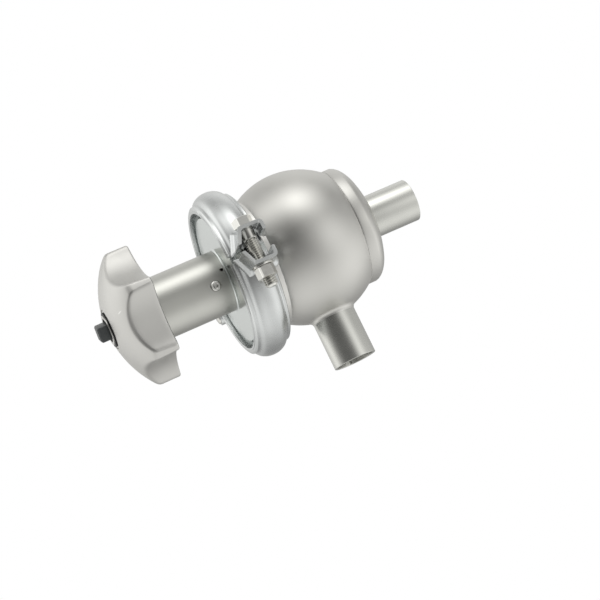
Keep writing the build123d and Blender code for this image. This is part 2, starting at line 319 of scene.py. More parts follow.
def turned(name, look, axis=(0, 0, 1), centre=(0, 0, 0)):
    # lathe-turned or brushed round metal: fine rings that follow the axis, on the side and on the face
    material, tree, shader, place = startMaterial(name, look["shader"])
    fromAxis = addNode(tree, "ShaderNodeVectorMath", {"operation": "SUBTRACT", 1: [c * mm for c in centre]},
                       {0: place})
    along = addNode(tree, "ShaderNodeVectorMath", {"operation": "DOT_PRODUCT", 1: axis},
                    {0: fromAxis.outputs[0]})
    across = addNode(tree, "ShaderNodeVectorMath", {"operation": "CROSS_PRODUCT", 1: axis},
                     {0: fromAxis.outputs[0]})
    radius = addNode(tree, "ShaderNodeVectorMath", {"operation": "LENGTH"}, {0: across.outputs[0]})
    track = addNode(tree, "ShaderNodeMath", {"operation": "ADD"},
                    {0: along.outputs["Value"], 1: radius.outputs["Value"]})
    lines = addNode(tree, "ShaderNodeTexNoise",
                    {"noise_dimensions": "1D", "Scale": perMetre(look["lineGap"]), "Detail": 3.0},
                    {"W": track.outputs[0]})
    cloud = addNode(tree, "ShaderNodeTexNoise",
                    {"Scale": perMetre(look["cloudSize"]), "Detail": 3.0}, {"Vector": place})
    both = addNode(tree, "ShaderNodeMix", {"data_type": "FLOAT", 0: look["cloudShare"]},
                   {2: lines.outputs[0], 3: cloud.outputs[0]})
    tone = addNode(tree, "ShaderNodeMix",
                   {"data_type": "RGBA", 6: linear(look["dark"]), 7: linear(look["light"])},
                   {0: both.outputs[0]})
    tree.links.new(tone.outputs[2], shader.inputs["Base Color"])
    smooth, coarse = look["rough"]
    gloss = addNode(tree, "ShaderNodeMapRange",
                    {"From Min": 0.3, "From Max": 0.7, "To Min": smooth, "To Max": coarse},
                    {"Value": both.outputs[0]})
    tree.links.new(gloss.outputs[0], shader.inputs["Roughness"])
    bump = addNode(tree, "ShaderNodeBump",
                   {"Strength": look["bump"], "Distance": look["depth"] * mm}, {"Height": lines.outputs[0]})
    tree.links.new(bump.outputs[0], shader.inputs["Normal"])
    return material


# 304 stainless steel, glass-bead blasted: even satin grey, highlights spread wide, faint clouds
# its edge colour is a painted highlight on sharp convex edges
beadBlasted = grained("bead-blasted stainless steel", {
    "shader": {"Metallic": 1.0},
    "dark": "BFBEBA", "light": "CBCAC7", "edge": "D8D7D4", "rough": (0.36, 0.42),
    "cloudSize": 16, "grainSize": 0.45, "bump": 0.12, "depth": 0.03})   # 0.1 mm beads, drawn coarser to show

# cast stainless steel knob, tumbled then blasted: slightly duller and softer than the ball
# its edge colour is a painted highlight on the lobes' ridges and other sharp convex edges
castKnob = grained("blasted cast stainless steel", {
    "shader": {"Metallic": 1.0},
    "dark": "BDBCB9", "light": "CAC9C6", "edge": "DCDBD9", "rough": (0.40, 0.47),
    "cloudSize": 11, "grainSize": 0.5, "bump": 0.16, "depth": 0.035})

# pressed stainless steel clamp, tumbled smooth: cooler and shinier, with a soft orange-peel ripple
# its edge colour is a painted highlight on sharp convex edges
tumbled = grained("tumbled stainless steel", {
    "shader": {"Metallic": 1.0},
    "dark": "BFC1C1", "light": "CDCFCF", "edge": "E2E4E3", "rough": (0.24, 0.30),
    "cloudSize": 9, "grainSize": 1.4, "bump": 0.05, "depth": 0.04})

# drawn tube, belt-brushed round its axis: fine hoops that stretch the highlight along the tube
brushedLook = {
    "shader": {"Metallic": 1.0},
    "dark": "BEBEB9", "light": "D0D0CC", "rough": (0.24, 0.31),
    "cloudSize": 9, "cloudShare": 0.45, "lineGap": 0.3, "bump": 0.10, "depth": 0.02}
brushedAxial = turned("brushed stainless tube, axial", brushedLook)
brushedSide = turned("brushed stainless tube, side", brushedLook, axis=(1, 0, 0), centre=(0, 0, ballZ))

# turned bonnet sleeve, satin brushed: wider highlight than the weld ends
brushedBonnet = turned("satin brushed stainless sleeve", {
    "shader": {"Metallic": 1.0},
    "dark": "B9B9B4", "light": "C9C9C4", "rough": (0.32, 0.38),
    "cloudSize": 10, "cloudShare": 0.5, "lineGap": 0.3, "bump": 0.10, "depth": 0.02})

# face-turned and polished cover: bright, with barely visible rings
polishedFace = turned("polished stainless steel", {
    "shader": {"Metallic": 1.0},
    "dark": "CDD2D0", "light": "DADEDC", "rough": (0.17, 0.22),
    "cloudSize": 20, "cloudShare": 0.5, "lineGap": 0.35, "bump": 0.05, "depth": 0.02})

# bright cold-formed A2 fasteners: crisp reflections, light handling marks
# its edge colour is a painted highlight on sharp convex edges
brightFastener = grained("bright stainless fastener", {
    "shader": {"Metallic": 1.0},
    "dark": "C4C3BE", "light": "D6D5D1", "edge": "EAEAE6", "rough": (0.16, 0.24),
    "cloudSize": 3, "grainSize": 0.6, "bump": 0.06, "depth": 0.02})

# turned stainless bar: clear tool rings, brighter than the blasted parts
turnedBar = turned("turned stainless steel", {
    "shader": {"Metallic": 1.0},
    "dark": "BFBEBA", "light": "D2D1CD", "rough": (0.20, 0.28),
    "cloudSize": 6, "cloudShare": 0.2, "lineGap": 0.25, "bump": 0.18, "depth": 0.02})

# leaded bearing bronze: warm yellow-brown with tool rings
bearingBronze = turned("bearing bronze", {
    "shader": {"Metallic": 1.0},
    "dark": "A57A45", "light": "BE935B", "rough": (0.26, 0.36),
    "cloudSize": 5, "cloudShare": 0.3, "lineGap": 0.25, "bump": 0.15, "depth": 0.02})

# compression-moulded EPDM: near black, dull, with a faint bloom
mouldedEpdm = grained("moulded EPDM rubber", {
    "shader": {"Metallic": 0.0, "IOR": 1.48},
    "dark": "232324", "light": "303031", "rough": (0.55, 0.68),
    "cloudSize": 8, "grainSize": 0.4, "bump": 0.15, "depth": 0.03})

# sintered PTFE, turned: waxy white
turnedPtfe = turned("turned PTFE", {
    "shader": {"Metallic": 0.0, "IOR": 1.36, "Subsurface Weight": 0.1},
    "dark": "E2E2DD", "light": "EDEDE9", "rough": (0.38, 0.46),
    "cloudSize": 6, "cloudShare": 0.4, "lineGap": 0.3, "bump": 0.10, "depth": 0.02})

# glass-filled black nylon: dark slate with a soft sheen at a low angle; its lighter grey edge colour is a
# painted highlight on sharp convex edges
blackNylon = grained("glass-filled black nylon", {
    "shader": {"Metallic": 0.0, "IOR": 1.53},
    "dark": "26292A", "light": "35393A", "edge": "585D5E", "rough": (0.34, 0.44),
    "cloudSize": 3, "grainSize": 0.35, "bump": 0.12, "depth": 0.02})

# phosphated spring steel: soft black with a slight metal glint
phosphated = grained("phosphated spring steel", {
    "shader": {"Metallic": 0.85},
    "dark": "242526", "light": "343536", "rough": (0.38, 0.48),
    "cloudSize": 2, "grainSize": 0.3, "bump": 0.15, "depth": 0.02})
print("materials ready")

ball = {"wall": 3.0, "bossRim": 35.1, "neckR": 37.8, "throatR": 33.5, "neckTop": highest("shell_upper").z}


def sphereHeight(radius, size=ballR):
    return math.sqrt(size ** 2 - radius ** 2)


def bodyShell():
    inner = ballR - ball["wall"]
    outerArc = np.linspace(math.asin(boreR / ballR), math.pi, 72)
    innerArc = np.linspace(math.pi, math.asin(boreR / inner), 60)
    rows = [(ballR * math.sin(t), ballR * math.cos(t)) for t in outerArc[:-1]]
    rows += [(0.0, -ballR), (0.0, -inner)]
    rows += [(inner * math.sin(t), inner * math.cos(t)) for t in innerArc[1:]]
    piece = meshPiece("ball_shell", *spun(rows, 144), place=alongX(0, 0, ballZ, -1))
    rimZ = ballZ - sphereHeight(ball["bossRim"])
    neckZ = ballZ + sphereHeight(ball["neckR"])
    sliceOff(piece, (0, 0, rimZ), (0, 0, -1), bridge=True)
    sliceOff(piece, (0, 0, neckZ), (0, 0, 1), bridge=True)
    centre = Vector((0, 0, ballZ))
    trueNormals(piece, lambda point: point - centre)
    neck = rounded([(ball["neckR"], neckZ, 0), (ball["neckR"], ball["neckTop"], 0),
                    (ball["throatR"], ball["neckTop"], 0), (ball["throatR"], neckZ, 0)])
    collar = meshPiece("ball_neck", *spun(neck))
    fit(collar, "valve_body", [], beadBlasted)
    return fit(piece, "valve_body", ["shell_lower", "shell_upper"], beadBlasted)


bodyShell()

boss = {"crownR": 72.0, "crownEdge": 30.6, "backZ": ballZ - 45.5, "edgeZ": ballZ - 33.4, "outR": 35.3,
        "seatR": 14.5, "spigotR": 12.4, "socketZ": ballZ - 39.0, "frontRadius": 1.1}


def endBoss():
    outR = boss["outR"]
    seatZ = highest("end_boss").z
    crownZ = boss["backZ"] + boss["crownR"]
    rimZ = ballZ - sphereHeight(ball["bossRim"])
    floorR = math.sqrt((ballR - ball["wall"]) ** 2 - (ballZ - rimZ) ** 2)
    domeRadii = np.linspace(tubeR + 0.45, boss["crownEdge"], 16)
    dome = [(r, crownZ - math.sqrt(boss["crownR"] ** 2 - r ** 2)) for r in domeRadii]
    edge = bend(dome[-1], (outR - 0.7, dome[-1][1] + 2.3), (outR, boss["edgeZ"]), 7)
    front = bend((outR, rimZ - boss["frontRadius"]), (outR, rimZ), (outR - 0.35, rimZ), 4)
    # a fine groove is left where the tube enters the dome
    outline = [(boss["spigotR"], dome[0][1] + 0.5), (tubeR, dome[0][1] + 0.5)] + dome + edge[1:] + front
    outline += [(floorR, rimZ), (boss["seatR"] + 4, rimZ - 2.3)]
    outline += rounded([(boss["seatR"], seatZ, 0.4), (boreR, seatZ, 0.3), (boreR, boss["socketZ"], 0),
                        (boss["spigotR"], boss["socketZ"], 0)], 3)
    piece = meshPiece("end_boss_cap", *spun(outline, 160), sharp=26)
    return fit(piece, "valve_body", ["end_boss"], beadBlasted)


endBoss()

tubes = {"lip": 0.3, "seamWidth": 1.3, "seamRise": 0.4, "weldReach": 2.1, "seamAngle": 90.0}


def seamBead(start, end):
    # low bead of the tube's lengthwise weld, inside the bore
    half = tubes["seamWidth"] / 2
    across = np.linspace(-half, half, 7)
    crest = [boreR - tubes["seamRise"] * math.cos(math.pi * a / (2 * half)) for a in across]
    loop = list(zip(crest, across)) + [(boreR + 0.4, half), (boreR + 0.4, -half)]
    return swept([[(r, a, start) for r, a in loop], [(r, a, end) for r, a in loop]])


def inletTube():
    end = highest("inlet_tube").z
    shoulder = boss["backZ"] + 1.6
    outline = rounded([(boreR, 0, tubes["lip"]), (tubeR, 0, tubes["lip"]), (tubeR, shoulder, 0),
                       (boss["spigotR"], shoulder, 0), (boss["spigotR"], end, 0), (boreR, end, 0)])
    piece = meshPiece("inlet_weld_end", *spun(outline))
    absorb(piece, meshPiece("seam", *seamBead(0.4, end)))
    return fit(piece, "valve_body", ["inlet_tube"], brushedAxial)


def outletTube():
    outline = rounded([(boreR, sideReach, tubes["lip"]), (tubeR, sideReach, tubes["lip"]),
                       (tubeR, sphereHeight(tubeR), 0), (boreR, sphereHeight(boreR), 0)])
    place = alongX(0, 0, ballZ, -1)
    piece = meshPiece("outlet_weld_end", *spun(outline), place=place)
    turn = Matrix.Rotation(math.radians(tubes["seamAngle"]), 4, "Z")
    absorb(piece, meshPiece("seam", *seamBead(sphereHeight(boreR), sideReach - 0.4), place=place @ turn))
    return fit(piece, "valve_body", ["outlet_tube"], brushedSide)


def outletWeld():
    # dressed fillet weld between the ball and the side tube
    foot = tubeR + tubes["weldReach"]
    toe = sphereHeight(tubeR) + tubes["weldReach"]
    buried = sphereHeight(foot) - 0.8
    skin = bend((foot, sphereHeight(foot) + 0.03), (tubeR + 0.25, sphereHeight(tubeR) + 0.1),
                (tubeR + 0.03, toe), 9)
    outline = skin + [(tubeR - 0.4, toe), (tubeR - 0.4, buried), (foot, buried)]
    piece = meshPiece("outlet_weld", *spun(outline), place=alongX(0, 0, ballZ, -1), sharp=50)
    return fit(piece, "valve_body", [], beadBlasted)


inletTube()
outletTube()
outletWeld()
print("body and weld ends built")

# the clamped rims' flanks slope by 20 degrees
joint = {"rimR": highest("body_ferrule").x, "rimHalf": 3.6, "slope": 0.364, "seal": 2.5,
         "plateR": 38.2, "holeR": 14.2, "recess": 5.5, "recessEdge": 6.0}


def flankHalf(radius):
    return joint["rimHalf"] + (joint["rimR"] - radius) * joint["slope"]


def bodyFerrule():
    low = lowest("body_ferrule").z
    high = highest("body_ferrule").z
    rim = joint["rimR"]
    outline = rounded([(ball["throatR"], low, 0), (ball["neckR"], low, 0),
                       (ball["neckR"], flangeZ - flankHalf(ball["neckR"]), 1.0),
                       (rim, flangeZ - joint["rimHalf"], 0.5), (rim, high, 0.2),
                       (ball["throatR"], high, 0.3)])
    piece = meshPiece("ferrule_ring", *spun(outline))
    return fit(piece, "valve_body", ["body_ferrule"], polishedFace)


def bonnetPlate():
    low = lowest("bonnet_plate").z
    top = highest("bonnet_plate").z
    rim = joint["rimR"]
    recess = low + joint["recess"]
    outline = rounded([(ball["throatR"], low, 0.3), (rim, low, 0.2), (rim, flangeZ + joint["rimHalf"], 0.5),
                       (joint["plateR"], flangeZ + flankHalf(joint["plateR"]), 0.8),
                       (joint["plateR"], top, 0.9), (joint["holeR"], top, 0.2), (joint["holeR"], recess, 0),
                       (joint["holeR"] + joint["recessEdge"], recess - 0.3, 1.0)])
    piece = meshPiece("bonnet_cover", *spun(outline, 144))
    return fit(piece, "valve_body", ["bonnet_plate"], polishedFace)


bonnet = {"boreR": 15.0, "screwAngle": -104.0, "screwR": 2.75, "screwZ": ballZ + 58.0,
          "weepAngle": -81.0, "weepZ": ballZ + 51.0, "weepR": 0.9, "rootWeld": 1.1,
          "drillFrom": 10.0, "drillTo": 25.0, "holeChamfer": 0.5}


def bonnetTube():
    outR = highest("bonnet_tube").x
    low = lowest("bonnet_tube").z
    top = highest("bonnet_tube").z
    outline = rounded([(bonnet["boreR"], low, 0), (outR - 0.6, low, 0), (outR, low + 1.3, 0.8),
                       (outR, top, 0.5), (bonnet["boreR"], top, 0.3)])
    piece = meshPiece("bonnet_sleeve", *spun(outline, 144))
    for angle, z, radius in ((bonnet["screwAngle"], bonnet["screwZ"], bonnet["screwR"] + 0.12),
                             (bonnet["weepAngle"], bonnet["weepZ"], bonnet["weepR"])):
        mouth = radius + bonnet["holeChamfer"]
        drill = [(0.0, bonnet["drillFrom"]), (radius, bonnet["drillFrom"]), (radius, outR - 0.35),
                 (mouth, outR + 0.15), (mouth, bonnet["drillTo"]), (0.0, bonnet["drillTo"])]
        carve(piece, meshPiece("drill", *spun(drill, 48, closed=False), place=outwards(angle, z)))
    trueNormals(piece, lambda point: Vector((point.x, point.y, 0)))
    fit(piece, "valve_body", ["bonnet_tube"], brushedBonnet)
    root = bend((outR + bonnet["rootWeld"], low), (outR - 0.1, low + 0.1),
                (outR - 0.3, low + bonnet["rootWeld"]), 6)
    weld = meshPiece("bonnet_weld", *spun(root + [(outR - 1.2, low + 0.6), (outR - 1.2, low - 0.3),
                                                  (outR + bonnet["rootWeld"], low - 0.3)]), sharp=50)
    return fit(weld, "valve_body", [], polishedFace)


def hexReach(angles, across):
    # distance to a hexagon's side at each angle
    return across / 2 / np.cos(np.mod(angles, math.pi / 3) - math.pi / 6)


def socketHead(outR, top, depth, across, chamfer, length, columns=96):
    # round head or set screw with a hexagon socket, standing on its own height axis
    turns = np.linspace(0, 2 * math.pi, columns, endpoint=False)
    key = hexReach(turns, across)
    lead = np.maximum(key, across / 2 / math.cos(math.pi / 6) + 0.12)
    socket = [(0.0, top - depth - 0.5), (key * 0.9, top - depth), (key, top - depth), (key, top - 0.25)]
    return socket + [(lead, top), (outR - chamfer, top), (outR, top - chamfer), (outR, top - length),
                     (0.0, top - length)]


def guideScrew():
    top = highest("bonnet_tube").x + 0.3
    head = socketHead(bonnet["screwR"], top, 2.4, 2.5, 0.45, 9.0)
    piece = meshPiece("guide_set_screw", *spun(head, 96, closed=False), sharp=25,
                      place=outwards(bonnet["screwAngle"], bonnet["screwZ"]))
    return fit(piece, "valve_body", ["guide_screw"], brightFastener)


bodyFerrule()
bonnetPlate()
bonnetTube()
guideScrew()
print("joint and bonnet built")

knob = {"domeR": 61.0, "lobes": 6, "lobeAngle": -76.8, "scoopR": 35.0, "scoopFloor": 30.5, "draft": 4.0,
        "tipBlend": 1.8, "frontCorner": 2.0, "backCorner": 1.2, "recessR": 11.9, "boreR": 9.15,
        "backRim": 20.0, "columns": 720}
knobTip = 40.0
knobBack = lowest("star_knob").z
domeCentre = ballZ + 121.3 - knob["domeR"]
recessFloor = lowest("knob_washer").z


def scoopReach(angles, z):
    # distance from the axis to the nearest scoop's wall, at each angle and height
    sector = 2 * math.pi / knob["lobes"]
    fromScoop = np.mod(angles - math.radians(knob["lobeAngle"]), sector) - sector / 2
    lean = math.radians(knob["draft"])
    along = knob["scoopR"] / math.cos(lean)
    across = knob["scoopR"]
    centre = knob["scoopFloor"] + (z - knobBack) * math.tan(lean) + along
    a = (np.cos(fromScoop) / along) ** 2 + (np.sin(fromScoop) / across) ** 2
    b = -2 * centre * np.cos(fromScoop) / along ** 2
    c = (centre / along) ** 2 - 1
    return (-b - np.sqrt(np.maximum(b * b - 4 * a * c, 0))) / (2 * a)


def knobSide(angles, z):
    # the outer circle and the scoops, blended round the lobe's corners
    scoop = scoopReach(angles, z)
    share = np.clip(0.5 + 0.5 * (scoop - knobTip) / knob["tipBlend"], 0, 1)
    return scoop * (1 - share) + knobTip * share - knob["tipBlend"] * share * (1 - share)


def domeHeight(radius):
    return domeCentre + np.sqrt(knob["domeR"] ** 2 - radius ** 2)


def starKnob():
    angles = np.linspace(0, 2 * math.pi, knob["columns"], endpoint=False)
    cornerZ = domeHeight(np.full(knob["columns"], knobTip))
    for _ in range(8):
        cornerR = knobSide(angles, cornerZ)
        cornerZ = domeHeight(cornerR)
    lip = knob["recessR"] + 0.5
    inner = cornerR - knob["frontCorner"]
    rows = [(knob["boreR"], recessFloor), (knob["recessR"] - 0.3, recessFloor),
            (knob["recessR"], recessFloor + 0.3), (knob["recessR"], domeHeight(lip) - 0.35),
            (knob["recessR"] + 0.12, domeHeight(lip) - 0.1)]
    for share in np.linspace(0, 1, 18):
        radius = lip + (inner - lip) * share
        rows.append((radius, domeHeight(radius)))
    below = cornerZ - knob["frontCorner"]
    start, end = (inner, domeHeight(inner)), (knobSide(angles, below), below)
    rows += curvedRows(start, (cornerR, cornerZ), end, 6)
    foot = knobBack + knob["backCorner"]
    for share in np.linspace(0, 1, 9)[1:]:
        z = below + (foot - below) * share
        rows.append((knobSide(angles, z), z))
    base = knobSide(angles, knobBack)
    rows += curvedRows(rows[-1], (base, knobBack), (base - knob["backCorner"], knobBack), 4)
    for share in (0.35, 0.7):
        rows.append((base - (base - knob["backRim"]) * share, knobBack))
    rows += [(knob["backRim"], knobBack), (knob["boreR"] + 0.4, knobBack), (knob["boreR"], knobBack + 0.4)]
    piece = meshPiece("star_handwheel", *spun(rows, knob["columns"]), sharp=40)
    return fit(piece, "hand_knob", ["star_knob"], castKnob)


def curvedRows(start, corner, end, steps):
    # rows of a curve between two rows, without its first one
    made = []
    for t in np.linspace(0, 1, steps + 1)[1:]:
        made.append(tuple((1 - t) ** 2 * start[i] + 2 * t * (1 - t) * corner[i] + t * t * end[i]
                          for i in (0, 1)))
    return made


def knobWasher():
    low = lowest("knob_washer").z
    high = highest("knob_washer").z
    outR = highest("knob_washer").x
    outline = rounded([(knob["boreR"], low, 0.1), (outR, low, 0.1), (outR, high, 0.25),
                       (knob["boreR"], high, 0.15)], 3)
    piece = meshPiece("recess_washer", *spun(outline))
    return fit(piece, "hand_knob", ["knob_washer"], turnedBar)


cap = {"side": 9.0, "angle": -25.8, "chamfer": 0.8, "corner": 0.6}


def indicatorCap():
    low = lowest("indicator_cap").z
    high = highest("indicator_cap").z
    half = cap["side"] / 2
    loops = []
    for inset, z in ((0, low), (0, high - cap["chamfer"]), (cap["chamfer"], high)):
        reach = half - inset
        square = rounded([(reach, reach, cap["corner"]), (-reach, reach, cap["corner"]),
                          (-reach, -reach, cap["corner"]), (reach, -reach, cap["corner"])], 3)
        loops.append([(x, y, z) for x, y in square])
    turn = Matrix.Rotation(math.radians(cap["angle"]), 4, "Z")
    piece = meshPiece("travel_indicator", *swept(loops), place=turn)
    softEdges(piece, 0.12)
    return fit(piece, "stem_group", ["indicator_cap"], blackNylon)


starKnob()
knobWasher()
indicatorCap()
print("knob and indicator built")

band = {"lip": 43.0, "half": 11.3, "bead": 0.9, "beadAt": 10.3, "beadWide": 0.8, "valley": 0.9,
        "valleyAt": 8.3, "valleyWide": 1.1, "innerLip": 41.5, "split": 2.5, "clearance": 0.3,
        "endInset": 0.25}
bandR = highest("clamp_half_head_side").x


def bandOutside(z):
    # arched pressing with a rolled bead at each rim
    away = abs(z)
    arch = (bandR - band["lip"]) * (1 - (away / band["half"]) ** 2.3)
    bead = band["bead"] * math.exp(-((away - band["beadAt"]) / band["beadWide"]) ** 2)
    valley = band["valley"] * math.exp(-((away - band["valleyAt"]) / band["valleyWide"]) ** 2)
    return band["lip"] + arch + bead - valley


def bandOutline():
    deep = joint["rimR"] + 0.9
    half = band["half"]
    reach = half - band["endInset"]
    outside = [(bandOutside(z), flangeZ + z) for z in np.linspace(-reach, reach, 50)]
    throat = flankHalf(band["innerLip"]) + band["clearance"]
    floor = flankHalf(deep) + band["clearance"]
    inner = band["innerLip"]
    upper = [(band["lip"], half, 0.3), (inner, half - 0.1, 0.45), (inner, throat, 0.3), (deep, floor, 0.2)]
    lower = [(across, -z, radius) for across, z, radius in reversed(upper)]
    inside = rounded([(across, flangeZ + z, radius) for across, z, radius in upper + lower], 3)
    return outside + inside


lug = {"tip": 65.0, "root": 46.5, "z": flangeZ - 1.5, "face": -highest("clamp_washer").x, "sheet": 2.0,
       "edge": 5.2, "knobEdge": 2.0, "nearKnob": 5.2, "nearBall": 9.2, "splay": 3.0,
       "flareFrom": 51.6, "flareTo": 46.6, "flareOut": 2.2, "flareWide": 3.0}


def smoothStep(share):
    share = min(max(share, 0.0), 1.0)
    return share * share * (3 - 2 * share)


def lugShape(side):
    # channel of bent sheet, flared into the band: square on the ball's side, splayed on the knob's side
    face, sheet, edge = lug["face"], lug["sheet"], lug["edge"]
    up, down, splay = lug["nearKnob"], -lug["nearBall"], lug["splay"]
    curl = sheet / 2 - 0.1
    near = lug["knobEdge"]
    back = face - sheet
    section = rounded([(near, up + splay + 0.6, curl), (face - 0.3, up, 2.6), (face, up - 1.0, 2.0),
                       (face, down, 3.4), (edge - 0.3, down, curl), (edge - 0.3, down + sheet, curl),
                       (back, down + sheet, 1.4), (back, up - sheet + 0.4, 1.6),
                       (near, up + splay + 0.6 - sheet, curl)], 6)
    straight = np.linspace(lug["tip"], lug["flareFrom"], 5)
    flared = np.linspace(lug["flareFrom"], lug["root"], 9)
    loops = []
    for y in list(straight) + list(flared[1:]):
        flare = smoothStep((lug["flareFrom"] - y) / (lug["flareFrom"] - lug["flareTo"]))
        wide = 1 + flare * lug["flareWide"] / lug["nearBall"]
        out = flare * lug["flareOut"]
        loops.append([(side * (x + out * (x - edge) / (face - edge)), -y, lug["z"] + z * wide)
                      for x, z in section])
    return swept(loops)


hinge = {"pinX": 9.0, "pinY": 55.0, "pinR": 3.0, "earR": 5.6, "earHalf": 8.0, "linkT": 2.4, "linkGap": 0.35}


def earShape(side):
    # hinge barrel with a waist that runs back into the band
    turns = np.radians(np.linspace(-20, 200, 25))
    barrel = [(side * (hinge["pinX"] + hinge["earR"] * math.cos(t)),
               hinge["pinY"] + hinge["earR"] * math.sin(t)) for t in turns]
    foot = [(side * (hinge["pinX"] - 5.2), 49.0), (side * (hinge["pinX"] - 5.8), 46.4),
            (side * (hinge["pinX"] + 8.5), 44.6), (side * (hinge["pinX"] + 6.4), 49.4)]
    outline = barrel + foot
    return plate(outline, flangeZ - hinge["earHalf"], flangeZ + hinge["earHalf"])


bolt = {"r": 4.0, "y": -58.0, "pitch": 1.25, "plainTo": 3.0, "depth": 0.8,
        "across": highest("clamp_nut").y - lowest("clamp_nut").y - 0.9}
boltZ = lug["z"]


def clampHalf(side, name, body, node):
    piece = meshPiece(name, *spun(bandOutline(), 220, arc=(-92, 92) if side > 0 else (88, 272)), sharp=40)
    sliceOff(piece, (side * band["split"], 0, 0), (-side, 0, 0))
    absorb(piece, meshPiece("ear", *earShape(side)))
    pinHole = [(0.0, 90.0), (hinge["pinR"] + 0.06, 90.0), (hinge["pinR"] + 0.06, 135.0), (0.0, 135.0)]
    carve(piece, meshPiece("pin hole", *spun(pinHole, 48, closed=False),
                           place=Matrix.Translation((side * hinge["pinX"], hinge["pinY"], 0))))
    lugPiece = meshPiece("lug", *lugShape(side), sharp=40)
    slack = bolt["r"] + 0.4
    reach = 0.0 if side > 0 else 1.5
    slot = slotOutline(slack, reach)
    carve(lugPiece, meshPiece("bolt hole", *plate(slot, -30, 30), place=alongX(0, bolt["y"], boltZ)))
    absorb(piece, lugPiece)
    softEdges(piece, 0.35, steps=2, angle=48)
    return fit(piece, body, [node], tumbled)


def slotOutline(radius, reach):
    # circle, or a slot lengthened along Y by reach each way
    turns = np.linspace(0, 2 * math.pi, 48, endpoint=False)
    return [(radius * math.cos(t), radius * math.sin(t) + math.copysign(reach, math.sin(t))) for t in turns]


def threaded(before, start, end, after, columns=72):
    # spun rows with a helical 60 degree thread between two plain ends, joined one pitch on after each turn
    turns = np.arange(columns) / columns
    root = bolt["r"] - bolt["depth"]
    profile = [(0.0, 0.0), (0.12, 0.0), (0.46, 1.0), (0.58, 1.0)]
    rows = list(before)
    first = len(rows)
    for k in range(int((end - start) / bolt["pitch"]) + 3):
        for share, rise in profile:
            z = start + bolt["pitch"] * (k - 1 + share + turns)
            inside = (z > start) & (z < end)
            rows.append((np.where(inside, root + bolt["depth"] * rise, root), np.clip(z, start, end)))
    last = len(rows)
    rows += after
    points, faces = spun(rows, columns, closed=False)
    made = []
    for face in faces:
        row, column = divmod(face[0], columns)
        if column < columns - 1 or row < first - 1 or row >= last:
            made.append(face)
        elif row + 1 + len(profile) < last and row >= first:
            step = len(profile) * columns
            made.append((face[0], face[1] + step, face[2] + step, face[3]))
    # both ends of the helix lie flat on the root circle, so the rows there close on themselves
    for row in [first - 1] + list(range(last - len(profile) - 1, last)):
        n = row * columns
        made.append((n + columns - 1, n, n + columns, n + 2 * columns - 1))
    return points, made


def clampBolt():
    start = lowest("clamp_bolt").x
    face = lug["face"]
    head = highest("clamp_bolt").x
    turns = np.linspace(0, 2 * math.pi, 72, endpoint=False)
    root = bolt["r"] - bolt["depth"]
    reach = hexReach(turns, bolt["across"])
    flat = bolt["across"] / 2 - 0.35
    drop = (reach - flat) * math.tan(math.radians(28))
    before = [(0.0, start), (root - 0.9, start), (root, start + 0.9)]
    after = [(root, bolt["plainTo"] + 0.1), (bolt["r"], bolt["plainTo"] + 0.9), (bolt["r"], face - 0.35),
             (bolt["r"] + 0.35, face + 0.02), (flat, face + 0.02), (reach, face + 0.35), (reach, head - drop),
             (flat, head), (flat - 1.2, head), (flat - 1.6, head - 0.15), (0.0, head - 0.15)]
    piece = meshPiece("clamp_hex_bolt", *threaded(before, start + 1.0, bolt["plainTo"], after),
                      place=alongX(0, bolt["y"], boltZ), sharp=24)
    return fit(piece, "clamp_head_half", ["clamp_bolt"], brightFastener)


def clampNut():
    start = lowest("clamp_nut").x
    end = highest("clamp_nut").x
    turns = np.linspace(0, 2 * math.pi, 72, endpoint=False)
    reach = hexReach(turns, bolt["across"])
    flat = bolt["across"] / 2 - 0.3
    drop = (reach - flat) * math.tan(math.radians(30))
    hole = bolt["r"] + 0.06
    rows = [(hole, start + 0.8), (hole + 0.7, start), (flat, start), (reach, start + drop),
            (reach, end - drop), (flat, end), (hole + 0.7, end), (hole, end - 0.8)]
    piece = meshPiece("clamp_hex_nut", *spun(rows, 72), place=alongX(0, bolt["y"], boltZ), sharp=20)
    return fit(piece, "nut", ["clamp_nut"], brightFastener)


def clampWasher():
    start = lowest("clamp_washer").x
    end = highest("clamp_washer").x
    outR = (highest("clamp_washer").y - lowest("clamp_washer").y) / 2
    hole = bolt["r"] + 0.35
    outline = rounded([(hole, start, 0.1), (outR, start, 0.3), (outR, end, 0.3), (hole, end, 0.1)], 3)
    piece = meshPiece("clamp_flat_washer", *spun(outline, 96), place=alongX(0, bolt["y"], boltZ))
    return fit(piece, "nut_seat", ["clamp_washer"], brightFastener)


def hingeLinks():
    turns = np.linspace(-90, 90, 17)
    radius = hinge["earR"] - 0.4
    right = [(hinge["pinX"] + radius * math.cos(math.radians(t)),
              hinge["pinY"] + radius * math.sin(math.radians(t))) for t in turns]
    outline = right + [(-x, 2 * hinge["pinY"] - y) for x, y in right]
    inner = hinge["earHalf"] + hinge["linkGap"]
    piece = meshPiece("hinge_link_plates", *plate(outline, flangeZ + inner, flangeZ + inner + hinge["linkT"]))
    absorb(piece, meshPiece("link", *plate(outline, flangeZ - inner - hinge["linkT"], flangeZ - inner)))
    softEdges(piece, 0.4)
    return fit(piece, "valve_body", ["hinge_links"], tumbled)


def hingePins():
    outer = hinge["earHalf"] + hinge["linkGap"] + hinge["linkT"]
    headR = hinge["pinR"] + 1.2
    half = [(hinge["pinR"], outer + 0.02), (headR - 0.1, outer + 0.02), (headR, outer + 0.2),
            (headR - 0.4, outer + 0.95), (headR - 1.6, outer + 1.36), (0.0, outer + 1.4)]
    rows = [(r, flangeZ - z) for r, z in reversed(half)] + [(r, flangeZ + z) for r, z in half]
    pins = [meshPiece("hinge_rivets", *spun(rows, 64, closed=False),
                      place=Matrix.Translation((x, hinge["pinY"], 0)))
            for x in (-hinge["pinX"], hinge["pinX"])]
    absorb(pins[0], pins[1])
    return fit(pins[0], "valve_body", ["hinge_pins"], brightFastener)


